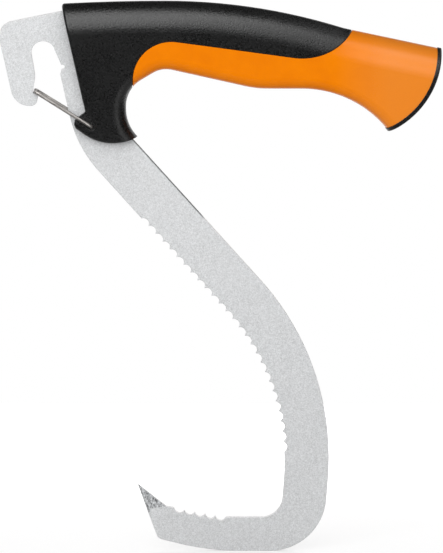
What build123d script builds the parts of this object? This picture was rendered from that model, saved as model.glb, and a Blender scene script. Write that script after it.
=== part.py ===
"""A hand-held log hook: a toothed steel hook plate moulded into a two-material grip, with a sprung
wire gate that closes the belt slot in front of the handle.

The plate lies in the XZ plane with its middle at Y = 0. X runs from the belt slot to the rear of the
grip, Z is up, and the origin is in the middle of the grip. All lengths are in millimetres."""

import os
from math import asin, cos, degrees, radians, sin, sqrt, tan

from build123d import *

# Grip, seen from the side
grip_height = 44.1
crown_ahead = 42.8
crown_radius = 322.0
crown_front_radius = 1030.0
dip_slope = 17.1
dip_radius = 56.0
rear_slope = 12.0
front_reach = 94.5
front_lean = 12.6
finger_radius = 21.4
finger_ahead = 43.0
finger_drop = 34.4
finger_wrap = 44.5
finger_past = 5.0
finger_slope = 31.0
finger_root_radius = 17.0
finger_top_radius = 14.0
finger_top_ahead = 44.8
finger_top_drop = 11.2
grip_slope = 12.7
swell_drop = 22.75
swell_radius = 60.0
palm_flat = 18.7
flare_radius = 59.0
flare_angle = 53.5
rear_reach = 107.8
end_radius = 49.0
end_drop = 1.4

# Lower front of the handle, which carries the gate
lip_drop = 35.5
lip_reach = 8.7
lip_fall = 6.5
lip_radius = 3.6
lip_root_radius = 1.0
chin_slope = 35.0
chin_rise = 21.9
chin_radius = 27.0

# Grip, seen from the end
grip_width = 29.0
side_taper = 6.0
under_round = 7.4
inner_round = 0.5
rim_round = 1.6

# Soft sleeve and its border with the hard core
sleeve_wall = 2.2
groove = 0.45
groove_depth = 0.7
border_front = 61.0
border_height = 1.0
border_slope = 7.7
border_front_radius = 21.5
border_rear = 53.3
border_rear_angle = 59.0
border_rear_radius = 33.0

# End cap and the hollow that it closes
cap_thickness = 2.3
cap_proud = 0.35
cap_edge = 0.8
plug_length = 8.0
plug_wall = 2.0
plug_clearance = 0.1
core_wall = 3.0
hollow_gap = 8.0

# Hook plate
plate = 4.0
shank_cover = 2.9
shank_width = 25.5
shank_lean = 42.0
shank_straight = 103.7
front_bend = 68.0
shank_bend = 126.0
back_bend = 146.0
toe_in = 4.5
upright_straight = 9.35
hook_width = 23.9
throat_radius = 11.5
heel_radius = 31.0
arm_depth = 18.5
arm_flat = 19.65
arm_rise = 10.6
arm_toothed = 33.3
belly_ahead = 10.0
belly_rise = 14.4
belly_radius = 150.0
toe_radius = 4.0
point_length = 19.8
point_rise = 38.5
toe_lean = 20.2
tip_thickness = 0.7
ridge_length = 15.6
ridge_lean = 31.0
facet_run = 17.0
facet_box = 40.0

# Teeth along the shank and the arm
tooth_pitch = 5.73
gullet_radius = 3.1
gullet_depth = 1.8
arm_gullet_depth = 2.3
teeth_start = 55.8
toothed_length = 157.0

# Tang inside the handle
tang_height = 20.0
tang_length = 120.0
tang_slope = 5.0
tang_cover = 6.0
tang_start = 5.0
tang_bend = 20.0
tang_inner_bend = 12.0
tang_corner = 5.0
tang_hole = 8.0
tang_hole_spacing = 30.0
tang_hole_count = 3

# Belt slot in front of the handle
spine_show = 9.0
belt_width = 28.2
belt_top = 19.35
belt_top_slope = 11.4
belt_corner = 8.5
belt_web = 13.8
nose_width = 15.3
nose_bulge = 2.0
nose_bulge_drop = 11.5
nose_bulge_radius = 15.0
nose_drop = 8.0
nose_corner = 10.0
nose_round = 3.4
barb_reach = 1.6
barb_drop = 2.1
barb_round = 0.5
barb_lean = 12.0
slot_width = 12.9
slot_side = 1.6
slot_side_drop = 3.6
slot_side_radius = 3.0
spine_notch_drop = 3.9

# Wire gate
wire = 2.0
gate_reach = 36.4
gate_rest = 32.0
gate_open = 63.5
gate_clearance = 0.35
pivot_back = 12.3
pivot_drop = 1.8
pivot_fit = 0.05
pivot_half = 7.0
crossbar_half = 5.5
wire_bend = 1.9
stub_gap = 0.3
pocket_floor = 4.95
pocket_room = 0.8
pocket_reach = 26.0

# How far cutting shapes reach past the solids that they cut, and what counts as on a line
reach = 60.0
far_low = -3 * reach
far_out = 4 * reach
near = 0.01


def polar(length, angle):
    """A step of a length at an angle from +X, in the plane of the plate."""
    return Vector(length * cos(radians(angle)), length * sin(radians(angle)))


def meet(p, p_angle, q, q_angle):
    """The point where a line through p meets a line through q."""
    a, b = polar(1, p_angle), polar(1, q_angle)
    gap = q - p
    along = (gap.X * b.Y - gap.Y * b.X) / (a.X * b.Y - a.Y * b.X)
    return p + a * along


def tangent_length(radius, turn):
    """How much of each straight a bend takes up, measured from their corner."""
    return radius * tan(radians(turn / 2))


# Places that more than one piece shares
finger_centre = Vector(-finger_ahead, -finger_drop)
finger_top = Vector(-finger_top_ahead, -finger_top_drop)
leg_corner = finger_centre + polar(finger_radius, 180 + finger_wrap)
front_up = 90 + front_lean
front_foot = Vector(-front_reach, 0)
lip_root = front_foot + polar(lip_drop / cos(radians(front_lean)), front_up + 180)
lip_corner = lip_root - Vector(lip_reach, lip_fall)
chin_corner = meet(lip_corner, -chin_slope, leg_corner, 180 + chin_rise)
end_centre = Vector(rear_reach - end_radius, -end_drop)
pivot = lip_corner + Vector(pivot_back, -pivot_drop)
crossbar_shut = pivot + polar(gate_reach, 180 - gate_rest)
crossbar_open = pivot + polar(gate_reach, 180 - gate_open)
spine_foot = front_foot - Vector(spine_show / cos(radians(front_lean)), 0)

# The ridge along the top of the handle: two arcs that share a crown, a dip and a straight slope
crown_centre = Vector(-crown_ahead, grip_height / 2 - sqrt(crown_radius**2 - crown_ahead**2))
crown_front_centre = crown_centre + Vector(0, crown_radius - crown_front_radius)
ridge_front_angle = degrees(asin((front_reach + reach / 2 - crown_ahead) / crown_front_radius))
dip_centre = crown_centre + polar(crown_radius + dip_radius, 90 - dip_slope)
slope_start = dip_centre + polar(dip_radius, 270 - rear_slope)
slope_end = slope_start + polar(2 * reach, -rear_slope)
half_width = grip_width / 2

# Corners of the underside: the swell under the palm and the flare behind it
swell_corner = meet(finger_top, -grip_slope, Vector(0, -swell_drop), 0)
flare_ahead = tangent_length(swell_radius, grip_slope) + tangent_length(flare_radius, flare_angle)
flare_corner = swell_corner + Vector(flare_ahead + palm_flat, 0)


def follows(edge, line):
    """Whether an edge runs beside a line that lies in the plane of the plate."""
    middle = edge @ 0.5
    on_line = line.distance_to(Vertex(middle.X, middle.Z, 0)) < near
    return on_line and (abs(middle.Y) > 1 or edge.geom_type != GeomType.LINE)


def handle_bar(inset):
    """The rounded bar along the ridge that the handle is cut from, or one set in from it."""
    with BuildLine(Plane.XZ) as ridge:
        CenterArc(
            tuple(crown_front_centre), crown_front_radius, 90 + ridge_front_angle, -ridge_front_angle
        )
        CenterArc(tuple(crown_centre), crown_radius, 90, -dip_slope)
        CenterArc(tuple(dip_centre), dip_radius, 270 - dip_slope, dip_slope - rear_slope)
        Line(tuple(slope_start), tuple(slope_end))
    section = Plane(ridge.wire() @ 0, x_dir=(0, 1, 0), z_dir=ridge.wire() % 0)
    with BuildPart() as bar:
        with BuildSketch(section):
            with BuildLine():
                crest = CenterArc(
                    (0, -half_width), half_width - inset, -side_taper, 180 + 2 * side_taper
                )
                left = PolarLine(crest @ 1, 1.5 * reach, -90 + side_taper)
                right = PolarLine(crest @ 0, 1.5 * reach, -90 - side_taper)
                Line(left @ 1, right @ 1)
            make_face()
        sweep(path=ridge.wire())
    return bar.part


def handle_form(inset):
    """The bar with the underside of the handle cut and rounded, or a form set in from it."""
    arc_turn = finger_wrap + finger_past
    arc_end = finger_centre - Vector(finger_radius + inset, 0)
    slope_line = finger_top + polar(inset, 90 + finger_slope)
    grip_line = finger_top + polar(inset, 90 - grip_slope)
    top = meet(slope_line, finger_slope, grip_line, -grip_slope)
    root = meet(top, finger_slope, arc_end, 90)
    swell = meet(top, -grip_slope, Vector(0, inset - swell_drop), 0)
    flare = flare_corner + Vector(inset * tan(radians(flare_angle / 2)), inset)
    flare_end = flare + polar(tangent_length(flare_radius + inset, flare_angle) + reach / 2, -flare_angle)
    bar = handle_bar(inset)
    with BuildPart() as form:
        add(bar)
        with BuildSketch(Plane.XZ):
            with BuildLine() as underside:
                leg = CenterArc(finger_centre, finger_radius + inset, 180 + arc_turn, -arc_turn)
                FilletPolyline(
                    arc_end,
                    root,
                    top,
                    swell,
                    flare,
                    flare_end,
                    radius=[
                        finger_root_radius + inset,
                        finger_top_radius + inset,
                        swell_radius - inset,
                        flare_radius + inset,
                    ],
                )
            with BuildLine():
                Polyline(flare_end, (flare_end.X, far_low), ((leg @ 0).X, far_low), leg @ 0)
            make_face()
        extrude(amount=reach, both=True, mode=Mode.SUBTRACT)
        if under_round - inset > inner_round:
            line = underside.wire()
            rounded = [e for e in form.edges(Select.LAST) if follows(e, line)]
            fillet(rounded, under_round - inset)
    return form.part


def behind_end(radius):
    """Everything behind an arc across the rear end of the handle."""
    with BuildPart() as behind:
        with BuildSketch(Plane.XZ):
            with Locations(end_centre):
                Rectangle(far_out, 2 * far_out, align=(Align.MIN, Align.CENTER))
                Circle(radius, mode=Mode.SUBTRACT)
        extrude(amount=reach, both=True)
    return behind.part


def sleeve_zone(grow):
    """The place of the soft sleeve seen from the side, grown or shrunk at its border."""
    border_top = Vector(0, grow / cos(radians(border_slope)) - border_height)
    rise_foot = Vector(border_rear - grow / sin(radians(border_rear_angle)), 0)
    front_low = Vector(-border_front - grow, -finger_drop)
    front = meet(front_low, 90, border_top, -border_slope)
    rear = meet(border_top, -border_slope, rise_foot, border_rear_angle)
    rise_end = rear + polar(2 * reach, border_rear_angle)
    with BuildPart() as zone:
        with BuildSketch(Plane.XZ):
            with BuildLine():
                FilletPolyline(
                    front_low,
                    front,
                    rear,
                    rise_end,
                    radius=[border_front_radius + grow, border_rear_radius - grow],
                )
                Polyline(
                    rise_end,
                    (far_out, rise_end.Y),
                    (far_out, far_low),
                    (finger_centre.X, far_low),
                    finger_centre,
                    front_low,
                )
            make_face()
        extrude(amount=reach, both=True)
    return zone.part


# Corners of the hook plate, round from the front of the handle
shank_angle = shank_lean - 90
upright_angle = -90 - toe_in
back_point = leg_corner + polar(shank_cover, shank_angle - 90)
inner_point = back_point + polar(shank_width, shank_angle - 90)
shank_turn = shank_lean + toe_in
throat_turn = 90 - toe_in
front_take = tangent_length(front_bend, shank_lean - front_lean)
shank_take = tangent_length(shank_bend, shank_turn)
throat_take = tangent_length(throat_radius, throat_turn)
inner_front = meet(spine_foot, front_up, inner_point, shank_angle)
inner_bend = inner_front + polar(front_take + shank_straight + shank_take, shank_angle)
throat = inner_bend + polar(shank_take + upright_straight + throat_take, upright_angle)
arm_start = throat - Vector(throat_take + arm_flat, 0)
arm_end = arm_start + polar(arm_toothed, 180 - arm_rise)
tip = arm_end + polar(point_length, 180 - point_rise)
belly = arm_start - Vector(belly_ahead, arm_depth)
toe = meet(tip, toe_lean - 90, belly, 180 - belly_rise)
upright_back = inner_bend + polar(hook_width, upright_angle + 90)
heel = meet(upright_back, upright_angle, belly, 0)
outer_bend = meet(upright_back, upright_angle, back_point, shank_angle)

# Corners of the tang
neck = Vector(finger_centre.X - finger_radius - tang_cover, 0)
tang_end = Vector(tang_length - front_reach, 0)
belt_end = meet(front_foot, front_up, Vector(0, belt_top), 0)
tang_top = belt_end + polar(tang_start, belt_top_slope)
tang_end_top = meet(tang_top, -tang_slope, tang_end, 90)
tang_end_low = tang_end_top - Vector(0, tang_height)
neck_top = meet(tang_end_low, -tang_slope, neck, 90)
neck_low = meet(back_point, shank_angle, neck, 90)

# Corners of the belt slot
slot_radius = slot_width / 2
nose_point = spine_foot + polar(belt_width, front_up + 90)
slot_left_point = nose_point + polar(nose_width + slot_radius, front_up - 90)
slot_top_point = belt_end + polar(belt_web + slot_radius, belt_top_slope - 90)
slot_centre = meet(slot_left_point, front_up, slot_top_point, belt_top_slope)
slot_left = slot_centre + polar(slot_radius, front_up + 90)
slot_right = slot_centre + polar(slot_radius, front_up - 90)
slot_flank = slot_right + Vector(slot_side, -slot_side_drop)
bulge = slot_left + Vector(nose_bulge, -nose_bulge_drop)
nose_floor = crossbar_shut - Vector(0, nose_drop)
belt_front = meet(nose_point, front_up, belt_end, belt_top_slope)
nose_left = meet(nose_point, front_up, nose_floor, 0)
barb = crossbar_shut + Vector(barb_reach, -barb_drop)
nose_right = meet(barb, 90 - barb_lean, nose_floor, 0)
spine_notch = meet(spine_foot, front_up, crossbar_open - Vector(0, spine_notch_drop), 0)
notch_radius = wire / 2 + gate_clearance
notch_back = crossbar_shut - Vector(notch_radius, 0)

# Ends of the ground facets on the face of the plate
ridge_end = tip + polar(ridge_length, ridge_lean - 90)
facet_end = tip + polar(facet_run, toe_lean - 90)

# Gullets between the teeth are set out along the inner edge of the shank and along the arm
with BuildLine():
    shank_line = FilletPolyline(inner_front, inner_bend, throat, radius=shank_bend)
    arm_line = Line(arm_start, arm_end)
shank_teeth = int(toothed_length / tooth_pitch)
arm_teeth = int(arm_toothed / tooth_pitch)
gullets = []
for line, start, count, depth in (
    (shank_line, teeth_start, shank_teeth, gullet_depth),
    (arm_line, tooth_pitch / 2, arm_teeth, arm_gullet_depth),
):
    for number in range(count):
        along = start + number * tooth_pitch
        place = line.position_at(along, position_mode=PositionMode.LENGTH)
        outward = line.tangent_at(along, position_mode=PositionMode.LENGTH).rotate(Axis.Z, -90)
        gullets.append(place + outward * (gullet_radius - depth))

# Holes in the tang, which the core fills
tang_middle = tang_end_top - Vector(0, tang_height / 2)
tang_holes = [
    tang_middle + polar((number + 0.5) * tang_hole_spacing, 180 - tang_slope)
    for number in range(tang_hole_count)
]

# Outline of the plate, each corner with its radius
outline = [
    (tang_top, tang_bend),
    (belt_front, belt_corner),
    (nose_left, nose_corner),
    (nose_right, nose_round),
    (barb, barb_round),
    (notch_back, 0),
    (bulge, nose_bulge_radius),
    (slot_left, 0),
    (slot_right, 0),
    (slot_flank, slot_side_radius),
    (crossbar_open, 0),
    (spine_notch, 0),
    (inner_front, front_bend),
    (inner_bend, shank_bend),
    (throat, throat_radius),
    (arm_start, 0),
    (arm_end, 0),
    (tip, 0),
    (toe, toe_radius),
    (belly, belly_radius),
    (heel, heel_radius),
    (outer_bend, back_bend),
    (neck_low, 0),
    (neck_top, tang_inner_bend),
    (tang_end_low, tang_corner),
    (tang_end_top, tang_corner),
]

# Hook plate, with its belt slot, teeth, holes and ground point
with BuildPart() as hook_blade:
    with BuildSketch(Plane.XZ):
        with BuildLine():
            FilletPolyline(
                [corner for corner, _ in outline], radius=[radius for _, radius in outline], close=True
            )
        make_face()
        with Locations(slot_centre):
            Circle(slot_radius, mode=Mode.SUBTRACT)
        with Locations(crossbar_shut, crossbar_open):
            Circle(notch_radius, mode=Mode.SUBTRACT)
        with Locations(gullets):
            Circle(gullet_radius, mode=Mode.SUBTRACT)
        with Locations(tang_holes):
            Circle(tang_hole / 2, mode=Mode.SUBTRACT)
        with Locations(pivot):
            Circle(wire / 2 + pivot_fit, mode=Mode.SUBTRACT)
    extrude(amount=plate / 2, both=True)
    for side in (1, -1):
        edge_tip = Vector(tip.X, side * tip_thickness / 2, tip.Y)
        face_ridge = Vector(ridge_end.X, side * plate / 2, ridge_end.Y)
        ridge_way = edge_tip - face_ridge
        for corner in (arm_end, facet_end):
            face_corner = Vector(corner.X, side * plate / 2, corner.Y)
            normal = ridge_way.cross(face_corner - face_ridge)
            normal = normal if normal.Y * side > 0 else -normal
            with Locations(Plane(face_ridge, x_dir=ridge_way, z_dir=normal)):
                Box(
                    facet_box,
                    facet_box,
                    facet_box,
                    align=(Align.CENTER, Align.CENTER, Align.MIN),
                    mode=Mode.SUBTRACT,
                )
hook_blade.part.label = "hook_blade"

# Front of the handle: everything ahead of its front edge, its lip and its chin is cut away
front_top = front_foot + polar(reach, front_up)
chin_end = leg_corner + polar(reach / 2, chin_rise)
with BuildPart() as front_cut:
    with BuildSketch(Plane.XZ):
        with BuildLine() as front_line:
            FilletPolyline(
                front_top,
                lip_root,
                lip_corner,
                chin_corner,
                chin_end,
                radius=[lip_root_radius, lip_radius, chin_radius],
            )
        with BuildLine():
            Polyline(
                chin_end,
                (chin_end.X, far_low),
                (-far_out, far_low),
                (-far_out, front_top.Y),
                front_top,
            )
        make_face()
    extrude(amount=reach, both=True)

# Forms of the handle, from the outside in
seat_radius = end_radius - cap_thickness
hollow_inset = sleeve_wall + core_wall
plug_inset = hollow_inset + plug_clearance
cap_form = handle_form(-cap_proud)
outer_bar = handle_bar(0)
outer_form = handle_form(0)
groove_form = handle_form(groove_depth)
inner_form = handle_form(sleeve_wall)
hollow_form = handle_form(hollow_inset)
plug_form = handle_form(plug_inset)
plug_bore = handle_form(plug_inset + plug_wall)
behind_cap = behind_end(end_radius)
behind_seat = behind_end(seat_radius)
behind_plug = behind_end(seat_radius - plug_length)
groove_place = sleeve_zone(0)
sleeve_place = sleeve_zone(-groove)

# The rim along the front is rounded before the underside is cut
with BuildPart() as front_bar:
    add(outer_bar)
    add(front_cut.part, mode=Mode.SUBTRACT)
    front_wire = front_line.wire()
    fillet([e for e in front_bar.edges(Select.LAST) if follows(e, front_wire)], rim_round)

# Spaces in the core: the groove, the bed of the sleeve, behind the tang and beside the gate
with BuildPart() as groove_space:
    add(groove_place)
    add(groove_form, mode=Mode.SUBTRACT)

with BuildPart() as sleeve_bed:
    add(sleeve_place)
    add(inner_form, mode=Mode.SUBTRACT)

with BuildPart() as hollow:
    add(hollow_form)
    with Locations(tang_end + Vector(hollow_gap, 0)):
        Box(
            far_out,
            far_out,
            2 * far_out,
            align=(Align.MIN, Align.CENTER, Align.CENTER),
            mode=Mode.INTERSECT,
        )

with BuildPart() as gate_pockets:
    with BuildSketch(Plane.XZ):
        with Locations(
            pivot,
            pivot + polar(pocket_reach, 180 - gate_rest),
            pivot + polar(pocket_reach, 180 - gate_open),
        ):
            Circle(wire / 2 + pocket_room)
        make_hull()
    extrude(amount=reach, both=True)
    Box(2 * far_out, 2 * pocket_floor, 2 * far_out, mode=Mode.SUBTRACT)

# Hard core of the handle, moulded round the tang
with BuildPart() as handle_core:
    add(front_bar.part)
    add(outer_form, mode=Mode.INTERSECT)
    add(behind_seat, mode=Mode.SUBTRACT)
    add(groove_space.part, mode=Mode.SUBTRACT)
    add(sleeve_bed.part, mode=Mode.SUBTRACT)
    add(hollow.part, mode=Mode.SUBTRACT)
    add(gate_pockets.part, mode=Mode.SUBTRACT)
    add(hook_blade.part, mode=Mode.SUBTRACT)
    with BuildSketch(Plane.XZ):
        with Locations(pivot):
            Circle(wire / 2 + pivot_fit)
    extrude(amount=reach, both=True, mode=Mode.SUBTRACT)
handle_core.part.label = "handle_core"

# Soft sleeve on the underside and round the rear of the grip
with BuildPart() as soft_grip:
    add(outer_form)
    add(sleeve_place, mode=Mode.INTERSECT)
    add(inner_form, mode=Mode.SUBTRACT)
    add(behind_seat, mode=Mode.SUBTRACT)
soft_grip.part.label = "soft_grip"

# End cap, with a plug that fits in the hollow
with BuildPart() as plug:
    add(plug_form)
    add(plug_bore, mode=Mode.SUBTRACT)
    add(behind_plug, mode=Mode.INTERSECT)
    add(behind_seat, mode=Mode.SUBTRACT)

with BuildLine() as end_line:
    CenterArc(tuple(end_centre), end_radius, -90, 180)

with BuildPart() as end_cap:
    add(cap_form)
    add(behind_seat, mode=Mode.INTERSECT)
    add(behind_cap, mode=Mode.SUBTRACT)
    end_wire = end_line.wire()
    fillet([e for e in end_cap.edges(Select.LAST) if follows(e, end_wire)], cap_edge)
    add(plug.part)
end_cap.part.label = "end_cap"

# Wire gate, in its shut place, in the plane of its two legs
gate_way = polar(1, 180 - gate_rest)
gate_plane = Plane(
    (pivot.X, 0, pivot.Y), x_dir=(gate_way.X, 0, gate_way.Y), z_dir=(gate_way.Y, 0, -gate_way.X)
)
with BuildPart() as gate_wire:
    with BuildLine(gate_plane) as gate_path:
        FilletPolyline(
            (0, -stub_gap),
            (0, -pivot_half),
            (gate_reach, -crossbar_half),
            (gate_reach, crossbar_half),
            (0, pivot_half),
            (0, stub_gap),
            radius=wire_bend,
        )
    with BuildSketch(Plane(gate_path.wire() @ 0, z_dir=gate_path.wire() % 0)):
        Circle(wire / 2)
    sweep(path=gate_path.wire())
gate_wire.part.label = "gate_wire"

os.makedirs("parts", exist_ok=True)
export_step(hook_blade.part, "parts/hook_blade.step")
export_step(handle_core.part, "parts/handle_core.step")
export_step(soft_grip.part, "parts/soft_grip.step")
export_step(end_cap.part, "parts/end_cap.step")
export_step(gate_wire.part, "parts/gate_wire.step")
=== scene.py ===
# %% [markdown]
# # A log hook in a white studio
# The real tool is a flat steel hook with a moulded grip and a sprung wire gate. Its shapes come ready from
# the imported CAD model, so this lesson is about surfaces: blasted steel, ground steel, grained plastic, soft
# rubber and drawn wire. All five pieces keep their CAD meshes, because a rigid tool needs no softer shape.

import math

import bpy
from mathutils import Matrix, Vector


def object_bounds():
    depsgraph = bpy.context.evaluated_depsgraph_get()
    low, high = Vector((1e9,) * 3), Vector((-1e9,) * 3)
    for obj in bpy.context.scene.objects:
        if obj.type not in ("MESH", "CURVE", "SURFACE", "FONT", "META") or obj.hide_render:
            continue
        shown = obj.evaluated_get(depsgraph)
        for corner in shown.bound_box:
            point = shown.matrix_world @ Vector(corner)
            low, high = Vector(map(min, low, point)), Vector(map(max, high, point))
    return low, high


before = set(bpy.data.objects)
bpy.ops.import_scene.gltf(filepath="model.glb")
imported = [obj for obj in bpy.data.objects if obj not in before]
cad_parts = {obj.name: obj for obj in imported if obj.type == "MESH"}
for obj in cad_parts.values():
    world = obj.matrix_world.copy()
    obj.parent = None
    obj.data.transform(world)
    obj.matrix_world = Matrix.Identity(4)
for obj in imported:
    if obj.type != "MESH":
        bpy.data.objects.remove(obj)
cad_low, cad_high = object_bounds()


def in_mm(low, high):
    """Both corners of a box in millimetres, for printing."""
    return [round(1000 * v, 1) for v in (*low, *high)]


print("pieces", sorted(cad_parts))
print("CAD box in mm", in_mm(cad_low, cad_high))

# %% [markdown]
# ## The camera
# The photograph looks straight at the flat of the hook from slightly above, through a long lens. A long lens
# could be imitated with an orthographic camera, but a far perspective camera keeps the faint depth of the
# grip. The lens follows from the distance and from how tall the picture is at the hook.

# %% Set the camera
image_height = 553
pixels_per_metre = 1828.0
camera_distance = 6.0
camera_elevation = math.radians(7.0)
aim = Vector((-0.0123, 0.0, -0.1266))

eye = bpy.data.cameras.new("eye")
eye.sensor_width = 36.0
eye.lens = eye.sensor_width * camera_distance * pixels_per_metre / image_height
eye.clip_end = 50.0
camera = bpy.data.objects.new("camera", eye)
toward_eye = Vector((0.0, -math.cos(camera_elevation), math.sin(camera_elevation)))
camera.location = aim + toward_eye * camera_distance
camera.rotation_mode = "QUATERNION"
camera.rotation_quaternion = (-toward_eye).to_track_quat("-Z", "Y")
scene = bpy.context.scene
scene.collection.objects.link(camera)
scene.camera = camera
scene.view_settings.view_transform = "Standard"
print("lens in mm", round(eye.lens, 1))

# %% [markdown]
# ## Small helpers for node trees
# A material is a tree of nodes. Wiring each node by hand takes several lines, so one helper adds a node and
# fills its sockets in a single call: a plain value is typed in, and another node's output is linked. The
# others are short names for the few kinds of node that this lesson uses again and again.

# %% Helpers for nodes
def place(tree, kind, sockets=None, **settings):
    """Adds a node, sets its options, then types in or links its sockets, and returns it."""
    node = tree.nodes.new(kind)
    for name, value in settings.items():
        setattr(node, name, value)
    for name, value in (sockets or {}).items():
        if isinstance(value, bpy.types.NodeSocket):
            tree.links.new(value, node.inputs[name])
        else:
            node.inputs[name].default_value = value
    return node


def reckon(tree, operation, a, b=0.0):
    """One step of arithmetic."""
    return place(tree, "ShaderNodeMath", {0: a, 1: b}, operation=operation).outputs[0]


def ramp(tree, value, start, end, low=0.0, high=1.0):
    """A value carried from one range to another, held at the ends."""
    sockets = {"Value": value, "From Min": start, "From Max": end, "To Min": low, "To Max": high}
    return place(tree, "ShaderNodeMapRange", sockets).outputs["Result"]


print("helpers", [helper.__name__ for helper in (place, reckon, ramp)])

# %% [markdown]
# ## Speckle, an effect that all finishes of the tool share
# Blasted steel, moulded grain and rubber all look even from afar and speckled close up. One node group makes
# that speckle from noise in the piece's own space, so it neither slides nor needs an unwrapped mesh. Size
# is the width of a speck in metres, Stretch draws the specks out into lines, and Turn swings those lines
# about Y.

# %% Sockets of the speckle group
speckle = bpy.data.node_groups.new("Speckle", "ShaderNodeTree")
for socket_name, socket_kind, socket_value in (
    ("Size", "NodeSocketFloat", 0.001),
    ("Stretch", "NodeSocketVector", (1.0, 1.0, 1.0)),
    ("Turn", "NodeSocketFloat", 0.0),
):
    socket = speckle.interface.new_socket(name=socket_name, in_out="INPUT", socket_type=socket_kind)
    socket.default_value = socket_value
speckle.interface.new_socket(name="Value", in_out="OUTPUT", socket_type="NodeSocketFloat")
print("group", speckle.name, [item.name for item in speckle.interface.items_tree])

# %% Nodes of the speckle group
speckle_in = place(speckle, "NodeGroupInput").outputs
own_space = place(speckle, "ShaderNodeTexCoord").outputs["Object"]
turn_sockets = {"Vector": own_space, "Angle": speckle_in["Turn"]}
turned = place(speckle, "ShaderNodeVectorRotate", turn_sockets, rotation_type="Y_AXIS").outputs["Vector"]
stretch_sockets = {0: turned, 1: speckle_in["Stretch"]}
drawn_out = place(speckle, "ShaderNodeVectorMath", stretch_sockets, operation="MULTIPLY").outputs["Vector"]
specks_per_metre = reckon(speckle, "DIVIDE", 1.0, speckle_in["Size"])
noise_sockets = {"Vector": drawn_out, "Scale": specks_per_metre, "Detail": 2.0, "Roughness": 0.6}
noise = place(speckle, "ShaderNodeTexNoise", noise_sockets).outputs["Fac"]
noise_spread = (0.3, 0.7)
place(speckle, "NodeGroupOutput", {"Value": ramp(speckle, noise, *noise_spread)})


def specks_of(tree, size, stretch=(1.0, 1.0, 1.0), turn=0.0):
    """Places the speckle group in a material with its own values."""
    sockets = {"Size": size, "Stretch": stretch, "Turn": turn}
    return place(tree, "ShaderNodeGroup", sockets, node_tree=speckle).outputs["Value"]


print("group", speckle.name, "with", len(speckle.nodes), "nodes")

# %% [markdown]
# ## Edges, the second shared effect
# No real edge is perfectly sharp, and the thin round of an edge is what catches the light. A bevel modifier
# would need clean faces, which a CAD mesh doesn't have. The Bevel node rounds the shading instead, and where
# its direction leaves the true one there is an edge, so it gives a mask for rubbed edges as well.

# %% Build the edge group
edge = bpy.data.node_groups.new("Edge", "ShaderNodeTree")
radius_socket = edge.interface.new_socket(name="Radius", in_out="INPUT", socket_type="NodeSocketFloat")
radius_socket.default_value = 0.0003
edge.interface.new_socket(name="Mask", in_out="OUTPUT", socket_type="NodeSocketFloat")
edge.interface.new_socket(name="Normal", in_out="OUTPUT", socket_type="NodeSocketVector")

edge_in = place(edge, "NodeGroupInput").outputs
rounded = place(edge, "ShaderNodeBevel", {"Radius": edge_in["Radius"]}, samples=6).outputs["Normal"]
straight = place(edge, "ShaderNodeNewGeometry").outputs["Normal"]
likeness = place(edge, "ShaderNodeVectorMath", {0: rounded, 1: straight}, operation="DOT_PRODUCT")
edge_likeness = (0.99, 0.85)
edge_mask = ramp(edge, likeness.outputs["Value"], *edge_likeness)
place(edge, "NodeGroupOutput", {"Mask": edge_mask, "Normal": rounded})


def edges_of(tree, radius):
    """Places the edge group in a material and returns its mask and its rounded direction."""
    outputs = place(tree, "ShaderNodeGroup", {"Radius": radius}, node_tree=edge).outputs
    return outputs["Mask"], outputs["Normal"]


print("group", edge.name, [item.name for item in edge.interface.items_tree])

# %% [markdown]
# ## A new material, ready for its nodes
# Every finish ends in the same Principled shader. Values that are the same all over the piece are typed
# straight on its sockets, and the rest is linked later.

# %% Helpers for materials
def new_finish(name, **constants):
    """A material with a Principled shader, and the constants typed on its sockets."""
    material = bpy.data.materials.new(name)
    material.use_nodes = True
    shader = material.node_tree.nodes["Principled BSDF"]
    for socket_name, value in constants.items():
        shader.inputs[socket_name.replace("_", " ")].default_value = value
    return material.node_tree, shader


def wire_up(tree, shader, colour, roughness, height, relief, normal=None):
    """Links colour and roughness, and a bump of so many metres, to the shader."""
    tree.links.new(colour, shader.inputs["Base Color"])
    tree.links.new(roughness, shader.inputs["Roughness"])
    sockets = {"Height": height, "Distance": relief, "Strength": 1.0}
    if normal is not None:
        sockets["Normal"] = normal
    tree.links.new(place(tree, "ShaderNodeBump", sockets).outputs["Normal"], shader.inputs["Normal"])


def dress(node_name, material_name):
    """Gives a CAD node its finish."""
    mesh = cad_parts[node_name].data
    mesh.materials.clear()
    mesh.materials.append(bpy.data.materials[material_name])
    print(node_name, "wears", material_name)


print("helpers", [helper.__name__ for helper in (new_finish, wire_up, dress)])

# %% [markdown]
# ## The hook plate: where each finish lies
# The plate is one piece of steel with three finishes: a bead-blasted flat, cut edges, and a point that is
# ground on both sides. Masks could be painted by hand, but the face's own direction already tells the three
# apart: flat faces look along Y, cut edges look across it, and the ground facets lie a little off it. A rough
# blasted face scatters light much as paint does, so the shader is only partly metallic.

# %% Masks for the flat, the cut edges and the ground point
def apart(tree, vector):
    """The X, Y and Z of a vector."""
    return place(tree, "ShaderNodeSeparateXYZ", {0: vector}).outputs


steel, steel_shader = new_finish("blasted_steel", Metallic=0.3)
facing = place(steel, "ShaderNodeNewGeometry").outputs["True Normal"]
along_y = reckon(steel, "ABSOLUTE", apart(steel, facing)["Y"])
cut_facing = (0.5, 0.2)
off_flat_facing = (0.998, 0.994)
cut_mask = ramp(steel, along_y, *cut_facing)
ground_mask = reckon(steel, "SUBTRACT", ramp(steel, along_y, *off_flat_facing), cut_mask)
print("masks on", steel_shader.name, "of blasted_steel")

# %% [markdown]
# ## Colours and what lies between them
# A real surface is rarely one colour, so this lesson mixes most of its colours by a mask. Greys could be
# picked by eye from a colour wheel. The shader reckons in linear light, though, so each grey is written as
# the share of light that it sends back, with a touch of warm or cool tint.

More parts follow.
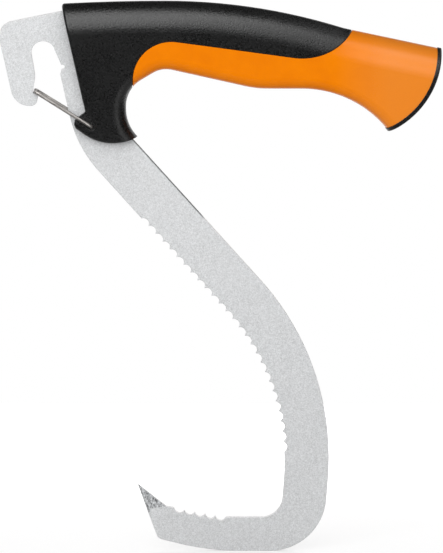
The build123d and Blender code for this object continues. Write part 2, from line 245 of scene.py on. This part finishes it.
# %% Helpers for colours
def mix(tree, share, first, second):
    """A colour between two colours, by a share from 0 to 1."""
    return place(tree, "ShaderNodeMix", {0: share, 6: first, 7: second}, data_type="RGBA").outputs[2]


def grey(level, warmth=0.0):
    """A linear grey, a little warmer or cooler."""
    return (level * (1 + warmth), level, level * (1 - warmth), 1.0)


print("helpers", [helper.__name__ for helper in (mix, grey)])

# %% [markdown]
# ## Blasted steel
# Blasting with beads leaves pits of many sizes, which look like an even, pale, speckled grey. A single noise
# looks blotched from close by or flat from afar, so three sizes of speck add up, and a faint cloud of 30 mm
# keeps the large flat from looking printed. The sum of the three is also the bump.

# %% Three sizes of speck and a cloud
steel_tint = -0.012
pit_grey = grey(0.385, steel_tint)
crest_grey = grey(0.855, steel_tint)
cloud_grey = grey(0.7, steel_tint)
speck_sizes = (0.00025, 0.00055, 0.0012)
speck_shares = (0.3, 0.5, 0.2)
cloud_size = 0.03
cloud_share = 0.15

blast = 0.0
for speck_size, speck_share in zip(speck_sizes, speck_shares):
    weighted = reckon(steel, "MULTIPLY", specks_of(steel, speck_size), speck_share)
    blast = reckon(steel, "ADD", weighted, blast)
blasted = mix(steel, blast, pit_grey, crest_grey)
cloud = reckon(steel, "MULTIPLY", specks_of(steel, cloud_size), cloud_share)
flat_colour = mix(steel, cloud, blasted, cloud_grey)
print("blasted steel has", len(steel.nodes), "nodes so far")

# %% [markdown]
# ## Ground point, cut edges and rubbed edges
# Grinding leaves the point dark and mottled, the cut edges carry fine lines across the thickness, and all
# sharp edges are rubbed a little brighter. The cut edges are also painted a lighter grey than the flat, as
# painted light for the light that they catch. Each could be a material of its own, but then the borders
# would be hard, so the masks lay the colours over each other in one material.

# %% Ground, cut and rubbed steel
ground_tint = -0.02
ground_dark = grey(0.08, ground_tint)
ground_pale = grey(0.7, ground_tint)
grind_size, grind_stretch = 0.0009, (1.0, 1.0, 0.7)
# The cut edges' grey is painted lighter than the flat's: painted light for the light they catch.
cut_dark, cut_pale = grey(0.6), grey(0.88)
cut_line_size, across_plate = 0.0005, (1.0, 0.15, 1.0)
rub_grey = grey(0.8)
rub_radius = 0.0006
rub_share = 0.35

grind = specks_of(steel, grind_size, stretch=grind_stretch)
with_ground = mix(steel, ground_mask, flat_colour, mix(steel, grind, ground_dark, ground_pale))
cut_lines = specks_of(steel, cut_line_size, stretch=across_plate)
# The fine lines on the cut edges are real; their lighter grey is painted light.
with_cut = mix(steel, cut_mask, with_ground, mix(steel, cut_lines, cut_dark, cut_pale))
rub_mask, steel_normal = edges_of(steel, rub_radius)
with_rub = mix(steel, reckon(steel, "MULTIPLY", rub_mask, rub_share), with_cut, rub_grey)
print("blasted steel has", len(steel.nodes), "nodes so far")

# %% [markdown]
# ## Painted shade on the back edge
# Only the stem's straight back edge is dark, from the handle down to where the stem starts to curve. Its
# near-black colour is painted shade, standing in for the shade and the dark reflection on that edge. It is
# the one edge that looks up and to the rear there, so its rounded direction and its height give the mask.

# %% Painted shade on the back edge
line_radius = 0.0014
line_facing = (0.1, 0.4)
line_end, line_full = -0.095, -0.0925
# This near-black grey is painted shade: it stands in for the edge's shadow and dark reflection.
painted_shade_grey = grey(0.02)

tilt = apart(steel, edges_of(steel, line_radius)[1])
rearward = ramp(steel, tilt["X"], *line_facing)
upward = ramp(steel, tilt["Z"], *line_facing)
steel_spot = place(steel, "ShaderNodeTexCoord").outputs["Object"]
high_up = ramp(steel, apart(steel, steel_spot)["Z"], line_end, line_full)
painted_shade_edge = reckon(steel, "MULTIPLY", reckon(steel, "MULTIPLY", rearward, upward), high_up)
# Painted shade: the back edge is coloured near-black here.
steel_colour = mix(steel, painted_shade_edge, with_rub, painted_shade_grey)
print("blasted steel has", len(steel.nodes), "nodes so far")

# %% [markdown]
# ## The finished plate
# The pale crests scatter light a little more than the pits do, so the specks also set the roughness, and the
# back edge with its painted shade is fully dull. One roughness could do for the whole plate, but it would
# look like paint.

# %% Roughness and bump of the plate
def span(tree, share, low, high):
    """A value between low and high, by a share from 0 to 1."""
    return ramp(tree, share, 0.0, 1.0, low, high)


steel_rough = (0.7, 0.82)
steel_relief = 0.00005
steel_roughness = reckon(steel, "MAXIMUM", span(steel, blast, *steel_rough), painted_shade_edge)
wire_up(steel, steel_shader, steel_colour, steel_roughness, blast, steel_relief, steel_normal)
dress("hook_blade", "blasted_steel")

# %% [markdown]
# ## Hard black plastic
# The core of the grip and the band at its rear end are moulded in black plastic with an eroded grain. Seen
# close, the grain is a field of tiny bumps that breaks the highlight into sparkle. One function makes both
# pieces, because they differ only in how fine and how deep the grain is.

# %% Grained black plastic
black_tint = -0.02
grain_dark = grey(0.0025, black_tint)
grain_pale = grey(0.007, black_tint)
worn_grey = grey(0.03)
worn_radius = 0.0004
worn_share = 0.5
patch_size = 0.02
grain_rough, patch_rough = (0.22, 0.4), (-0.03, 0.03)


def black_plastic(name, grain_size, relief):
    """Black moulded plastic with an even grain, slow patches of gloss and worn edges."""
    tree, shader = new_finish(name, Specular_IOR_Level=0.6)
    grain = specks_of(tree, grain_size)
    patches = specks_of(tree, patch_size)
    worn_mask, soft_normal = edges_of(tree, worn_radius)
    body = mix(tree, grain, grain_dark, grain_pale)
    worn = mix(tree, reckon(tree, "MULTIPLY", worn_mask, worn_share), body, worn_grey)
    rough = reckon(tree, "ADD", span(tree, grain, *grain_rough), span(tree, patches, *patch_rough))
    wire_up(tree, shader, worn, rough, grain, relief, soft_normal)


black_plastic("grained_black", grain_size=0.0009, relief=0.00007)
black_plastic("band_black", grain_size=0.0005, relief=0.00004)
dress("handle_core", "grained_black")
dress("end_cap", "band_black")

# %% [markdown]
# ## Soft orange rubber
# The sleeve is a soft rubber moulded over the core. Under the palm it is smooth and deep in colour, and
# toward the rear end a dull film lies on it, and a paler orange there is a painted sheen. The two could be
# two materials, but the change is gradual, so the place along the grip mixes them and fades a coat in for
# the film. Fine pores and a slow change of tone keep both from looking printed.

# %% Satin orange rubber
deep_dark = (0.805, 0.196, 0.001, 1.0)
deep_light = (0.86, 0.223, 0.001, 1.0)
# This paler orange toward the rear end is a painted sheen.
painted_sheen_orange = (0.825, 0.229, 0.003, 1.0)
pore_orange = (0.74, 0.175, 0.001, 1.0)
film_and_sheen_start, film_and_sheen_full = 0.05, 0.08
film_weight = 0.85
pore_size, pore_share, pore_relief = 0.0006, 0.25, 0.00002
tone_size = 0.012
pore_rough, film_rough = (-0.03, 0.03), (0.12, 0.34)

rubber, rubber_shader = new_finish("satin_orange", Specular_IOR_Level=0.15, Coat_Roughness=0.29)
pores = specks_of(rubber, pore_size)
sleeve_spot = place(rubber, "ShaderNodeTexCoord").outputs["Object"]
film_and_sheen = ramp(rubber, apart(rubber, sleeve_spot)["X"], film_and_sheen_start, film_and_sheen_full)
deep = mix(rubber, specks_of(rubber, tone_size), deep_dark, deep_light)
# Toward the rear end the colour turns to the paler orange, a painted sheen.
orange = mix(rubber, film_and_sheen, deep, painted_sheen_orange)
rubber_colour = mix(rubber, reckon(rubber, "MULTIPLY", pores, pore_share), orange, pore_orange)
pore_change = span(rubber, pores, *pore_rough)
rubber_roughness = reckon(rubber, "ADD", pore_change, span(rubber, film_and_sheen, *film_rough))
wire_up(rubber, rubber_shader, rubber_colour, rubber_roughness, pores, pore_relief)
rubber.links.new(reckon(rubber, "MULTIPLY", film_and_sheen, film_weight), rubber_shader.inputs["Coat Weight"])
dress("soft_grip", "satin_orange")

# %% [markdown]
# ## Drawn steel wire
# The gate is bent from drawn spring wire, so its fine scratches run along its legs. The shut legs slope 32
# degrees in the XZ plane, and specks that are turned to that slope and drawn out along it make the lines.
# A warm tint tells the bare wire from the blasted plate, and a small matt share keeps its lower ends in sight
# where they mirror the black handle.

# %% Drawn wire
wire_dark = (0.15, 0.141, 0.134, 1.0)
wire_bright = (0.68, 0.647, 0.618, 1.0)
leg_slope = math.radians(32.0)
scratch_size, scratch_relief = 0.0003, 0.00002
along_leg = (0.05, 1.0, 1.0)
spot_size, spot_rough = 0.0025, (0.34, 0.46)

drawn, drawn_shader = new_finish("drawn_wire", Metallic=0.8)
scratches = specks_of(drawn, scratch_size, stretch=along_leg, turn=-leg_slope)
drawn_colour = mix(drawn, scratches, wire_dark, wire_bright)
drawn_roughness = span(drawn, specks_of(drawn, spot_size), *spot_rough)
wire_up(drawn, drawn_shader, drawn_colour, drawn_roughness, scratches, scratch_relief)
dress("gate_wire", "drawn_wire")

# %% [markdown]
# ## The floor
# The hook stands on a plain sheet that begins shortly in front of it and runs well behind it. A bowed studio
# backdrop could take its place, but the world behind is white already, so a flat sheet is enough.

# %% Floor sheet
floor_half = 0.6
floor_front = -0.3
floor_mesh = bpy.data.meshes.new("floor")
corners = [(-floor_half, floor_front, 0.0), (floor_half, floor_front, 0.0)]
corners += [(floor_half, floor_half, 0.0), (-floor_half, floor_half, 0.0)]
floor_mesh.from_pydata(corners, [], [(0, 1, 2, 3)])
floor = bpy.data.objects.new("floor", floor_mesh)
floor.location.z = cad_low.z
scene.collection.objects.link(floor)
print("floor at", round(1000 * floor.location.z, 1), "mm")

# %% [markdown]
# ## A white floor that keeps the shadow
# The photograph is cut out on pure white. A matt sheet under the hook keeps its shadow, and a glow lifts it
# to white without more light on the tool. The camera sees that glow all over, also through glass, and mirror
# rays see it only well behind the tool. In front it would show as haze on the black and orange, so there the
# floor is a middle grey to them and ends soon. The glow grows outward, so the edges of the floor don't show,
# and from below the floor is clear, so it doesn't hide the tool.

# %% Whiteness by the kind of ray
def whitened(tree, mirror_share):
    """1 for what the camera sees, also through glass, and a share of that for mirror rays."""
    rays = place(tree, "ShaderNodeLightPath").outputs
    seen = reckon(tree, "MAXIMUM", rays["Is Camera Ray"], rays["Is Transmission Ray"])
    return reckon(tree, "MAXIMUM", seen, reckon(tree, "MULTIPLY", rays["Is Glossy Ray"], mirror_share))


print("helper", whitened.__name__)

# %% Pale floor paper
white = grey(1.0)
paper_grey = grey(0.38)
mirrored_from, mirrored_full = 0.1, 0.4
glow_near, glow_far = 0.58, 1.0
glow_start, glow_full = 0.15, 0.3

paper, paper_shader = new_finish("pale_floor", Base_Color=paper_grey, Roughness=0.9, Specular_IOR_Level=0.0)
paper_shader.inputs["Emission Color"].default_value = white
floor_spot = place(paper, "ShaderNodeTexCoord").outputs["Object"]
far_behind = ramp(paper, apart(paper, floor_spot)["Y"], mirrored_from, mirrored_full)
outward = place(paper, "ShaderNodeVectorMath", {0: floor_spot}, operation="LENGTH").outputs["Value"]
glow_level = ramp(paper, outward, glow_start, glow_full, glow_near, glow_far)
glow = reckon(paper, "MULTIPLY", whitened(paper, far_behind), glow_level)
paper.links.new(glow, paper_shader.inputs["Emission Strength"])
underside = place(paper, "ShaderNodeNewGeometry").outputs["Backfacing"]
paper.links.new(reckon(paper, "SUBTRACT", 1.0, underside), paper_shader.inputs["Alpha"])
floor_mesh.materials.append(bpy.data.materials["pale_floor"])
print("floor wears pale_floor with", len(paper.nodes), "nodes")

# %% [markdown]
# ## A white room that each kind of ray sees differently
# A plain white world would fill the black grip with haze. Light Path nodes let the camera see white. Mirror
# rays see white only behind the tool and in a strip on the right, which draws the soft line beside the finger
# arc. Matt surfaces get a fill from the front and a little from above, as in a light tent.

# %% White world: what mirror rays see
world = bpy.data.worlds.new("white_room")
world.use_nodes = True
scene.world = world
room = world.node_tree
direction = place(room, "ShaderNodeTexCoord").outputs["Generated"]
outlook = apart(room, direction)

behind_range = (0.5, 0.9)
under_top_range = (0.3, 0.1)
dim_level, white_level = 0.04, 1.0
strip_rise, strip_fall = (0.3, 0.45), (0.8, 0.6)
strip_glow = 1.2
behind = ramp(room, outlook["Y"], *behind_range)
under_top = ramp(room, outlook["Z"], *under_top_range)
backlit = span(room, reckon(room, "MULTIPLY", behind, under_top), dim_level, white_level)
rising = ramp(room, outlook["X"], *strip_rise, 0.0, strip_glow)
strip = reckon(room, "MULTIPLY", rising, ramp(room, outlook["X"], *strip_fall))
mirrored = reckon(room, "MAXIMUM", backlit, strip)
print("mirror part has", len(room.nodes), "nodes")

# %% White world: what matt surfaces get
front_range, front_levels = (0.3, -0.7), (0.15, 0.62)
top_range, top_levels = (0.2, 0.9), (0.0, 0.25)
front_fill = ramp(room, outlook["Y"], *front_range, *front_levels)
top_fill = ramp(room, outlook["Z"], *top_range, *top_levels)
matt_ray = place(room, "ShaderNodeLightPath").outputs["Is Diffuse Ray"]
matt_light = reckon(room, "MULTIPLY", matt_ray, reckon(room, "ADD", front_fill, top_fill))
room_light = reckon(room, "MAXIMUM", whitened(room, mirrored), matt_light)
backdrop = room.nodes["Background"]
backdrop.inputs["Color"].default_value = white
room.links.new(room_light, backdrop.inputs["Strength"])
print("world", world.name, "with", len(room.nodes), "nodes")

# %% [markdown]
# ## Soft studio light
# A tall softbox stands in front of the hook, to the left, and leans over it. Its reflection is the long band
# of light along the rounded top of the grip: its upper edge sets where the band starts and its lower edge how
# softly it fades. Light from so high up would also throw a dark shadow under the handle, so this one is for
# gloss alone, and a lower one in front lights the matt surfaces. A third lights the back. The last two are
# hidden from mirror rays, because they would draw bands of their own on the black.

# %% Softboxes
def softbox(name, place_at, look_at, width, height, power):
    """A rectangular lamp that looks at a point."""
    lamp = bpy.data.lights.new(name, "AREA")
    lamp.shape = "RECTANGLE"
    lamp.size = width
    lamp.size_y = height
    lamp.energy = power
    holder = bpy.data.objects.new(name, lamp)
    holder.location = place_at
    holder.rotation_mode = "QUATERNION"
    holder.rotation_quaternion = (Vector(look_at) - Vector(place_at)).to_track_quat("-Z", "Y")
    scene.collection.objects.link(holder)
    return holder


key_place, key_aim = (-0.389, -0.871, 0.713), (-0.066, -0.149, -0.222)
front_place, front_aim = (-0.25, -1.2, 0.25), (-0.02, 0.0, -0.1)
rear_place, rear_aim = (0.1, 1.0, 0.3), (0.0, 0.0, -0.1)
key = softbox("key_softbox", key_place, key_aim, width=1.275, height=1.87, power=22.4)
key.visible_diffuse = False
front = softbox("front_softbox", front_place, front_aim, width=1.2, height=0.8, power=10.7)
front.visible_glossy = False
rear = softbox("rear_softbox", rear_place, rear_aim, width=1.2, height=0.8, power=14.0)
rear.visible_glossy = False
print("lamps", [lamp.name for lamp in (key, front, rear)])
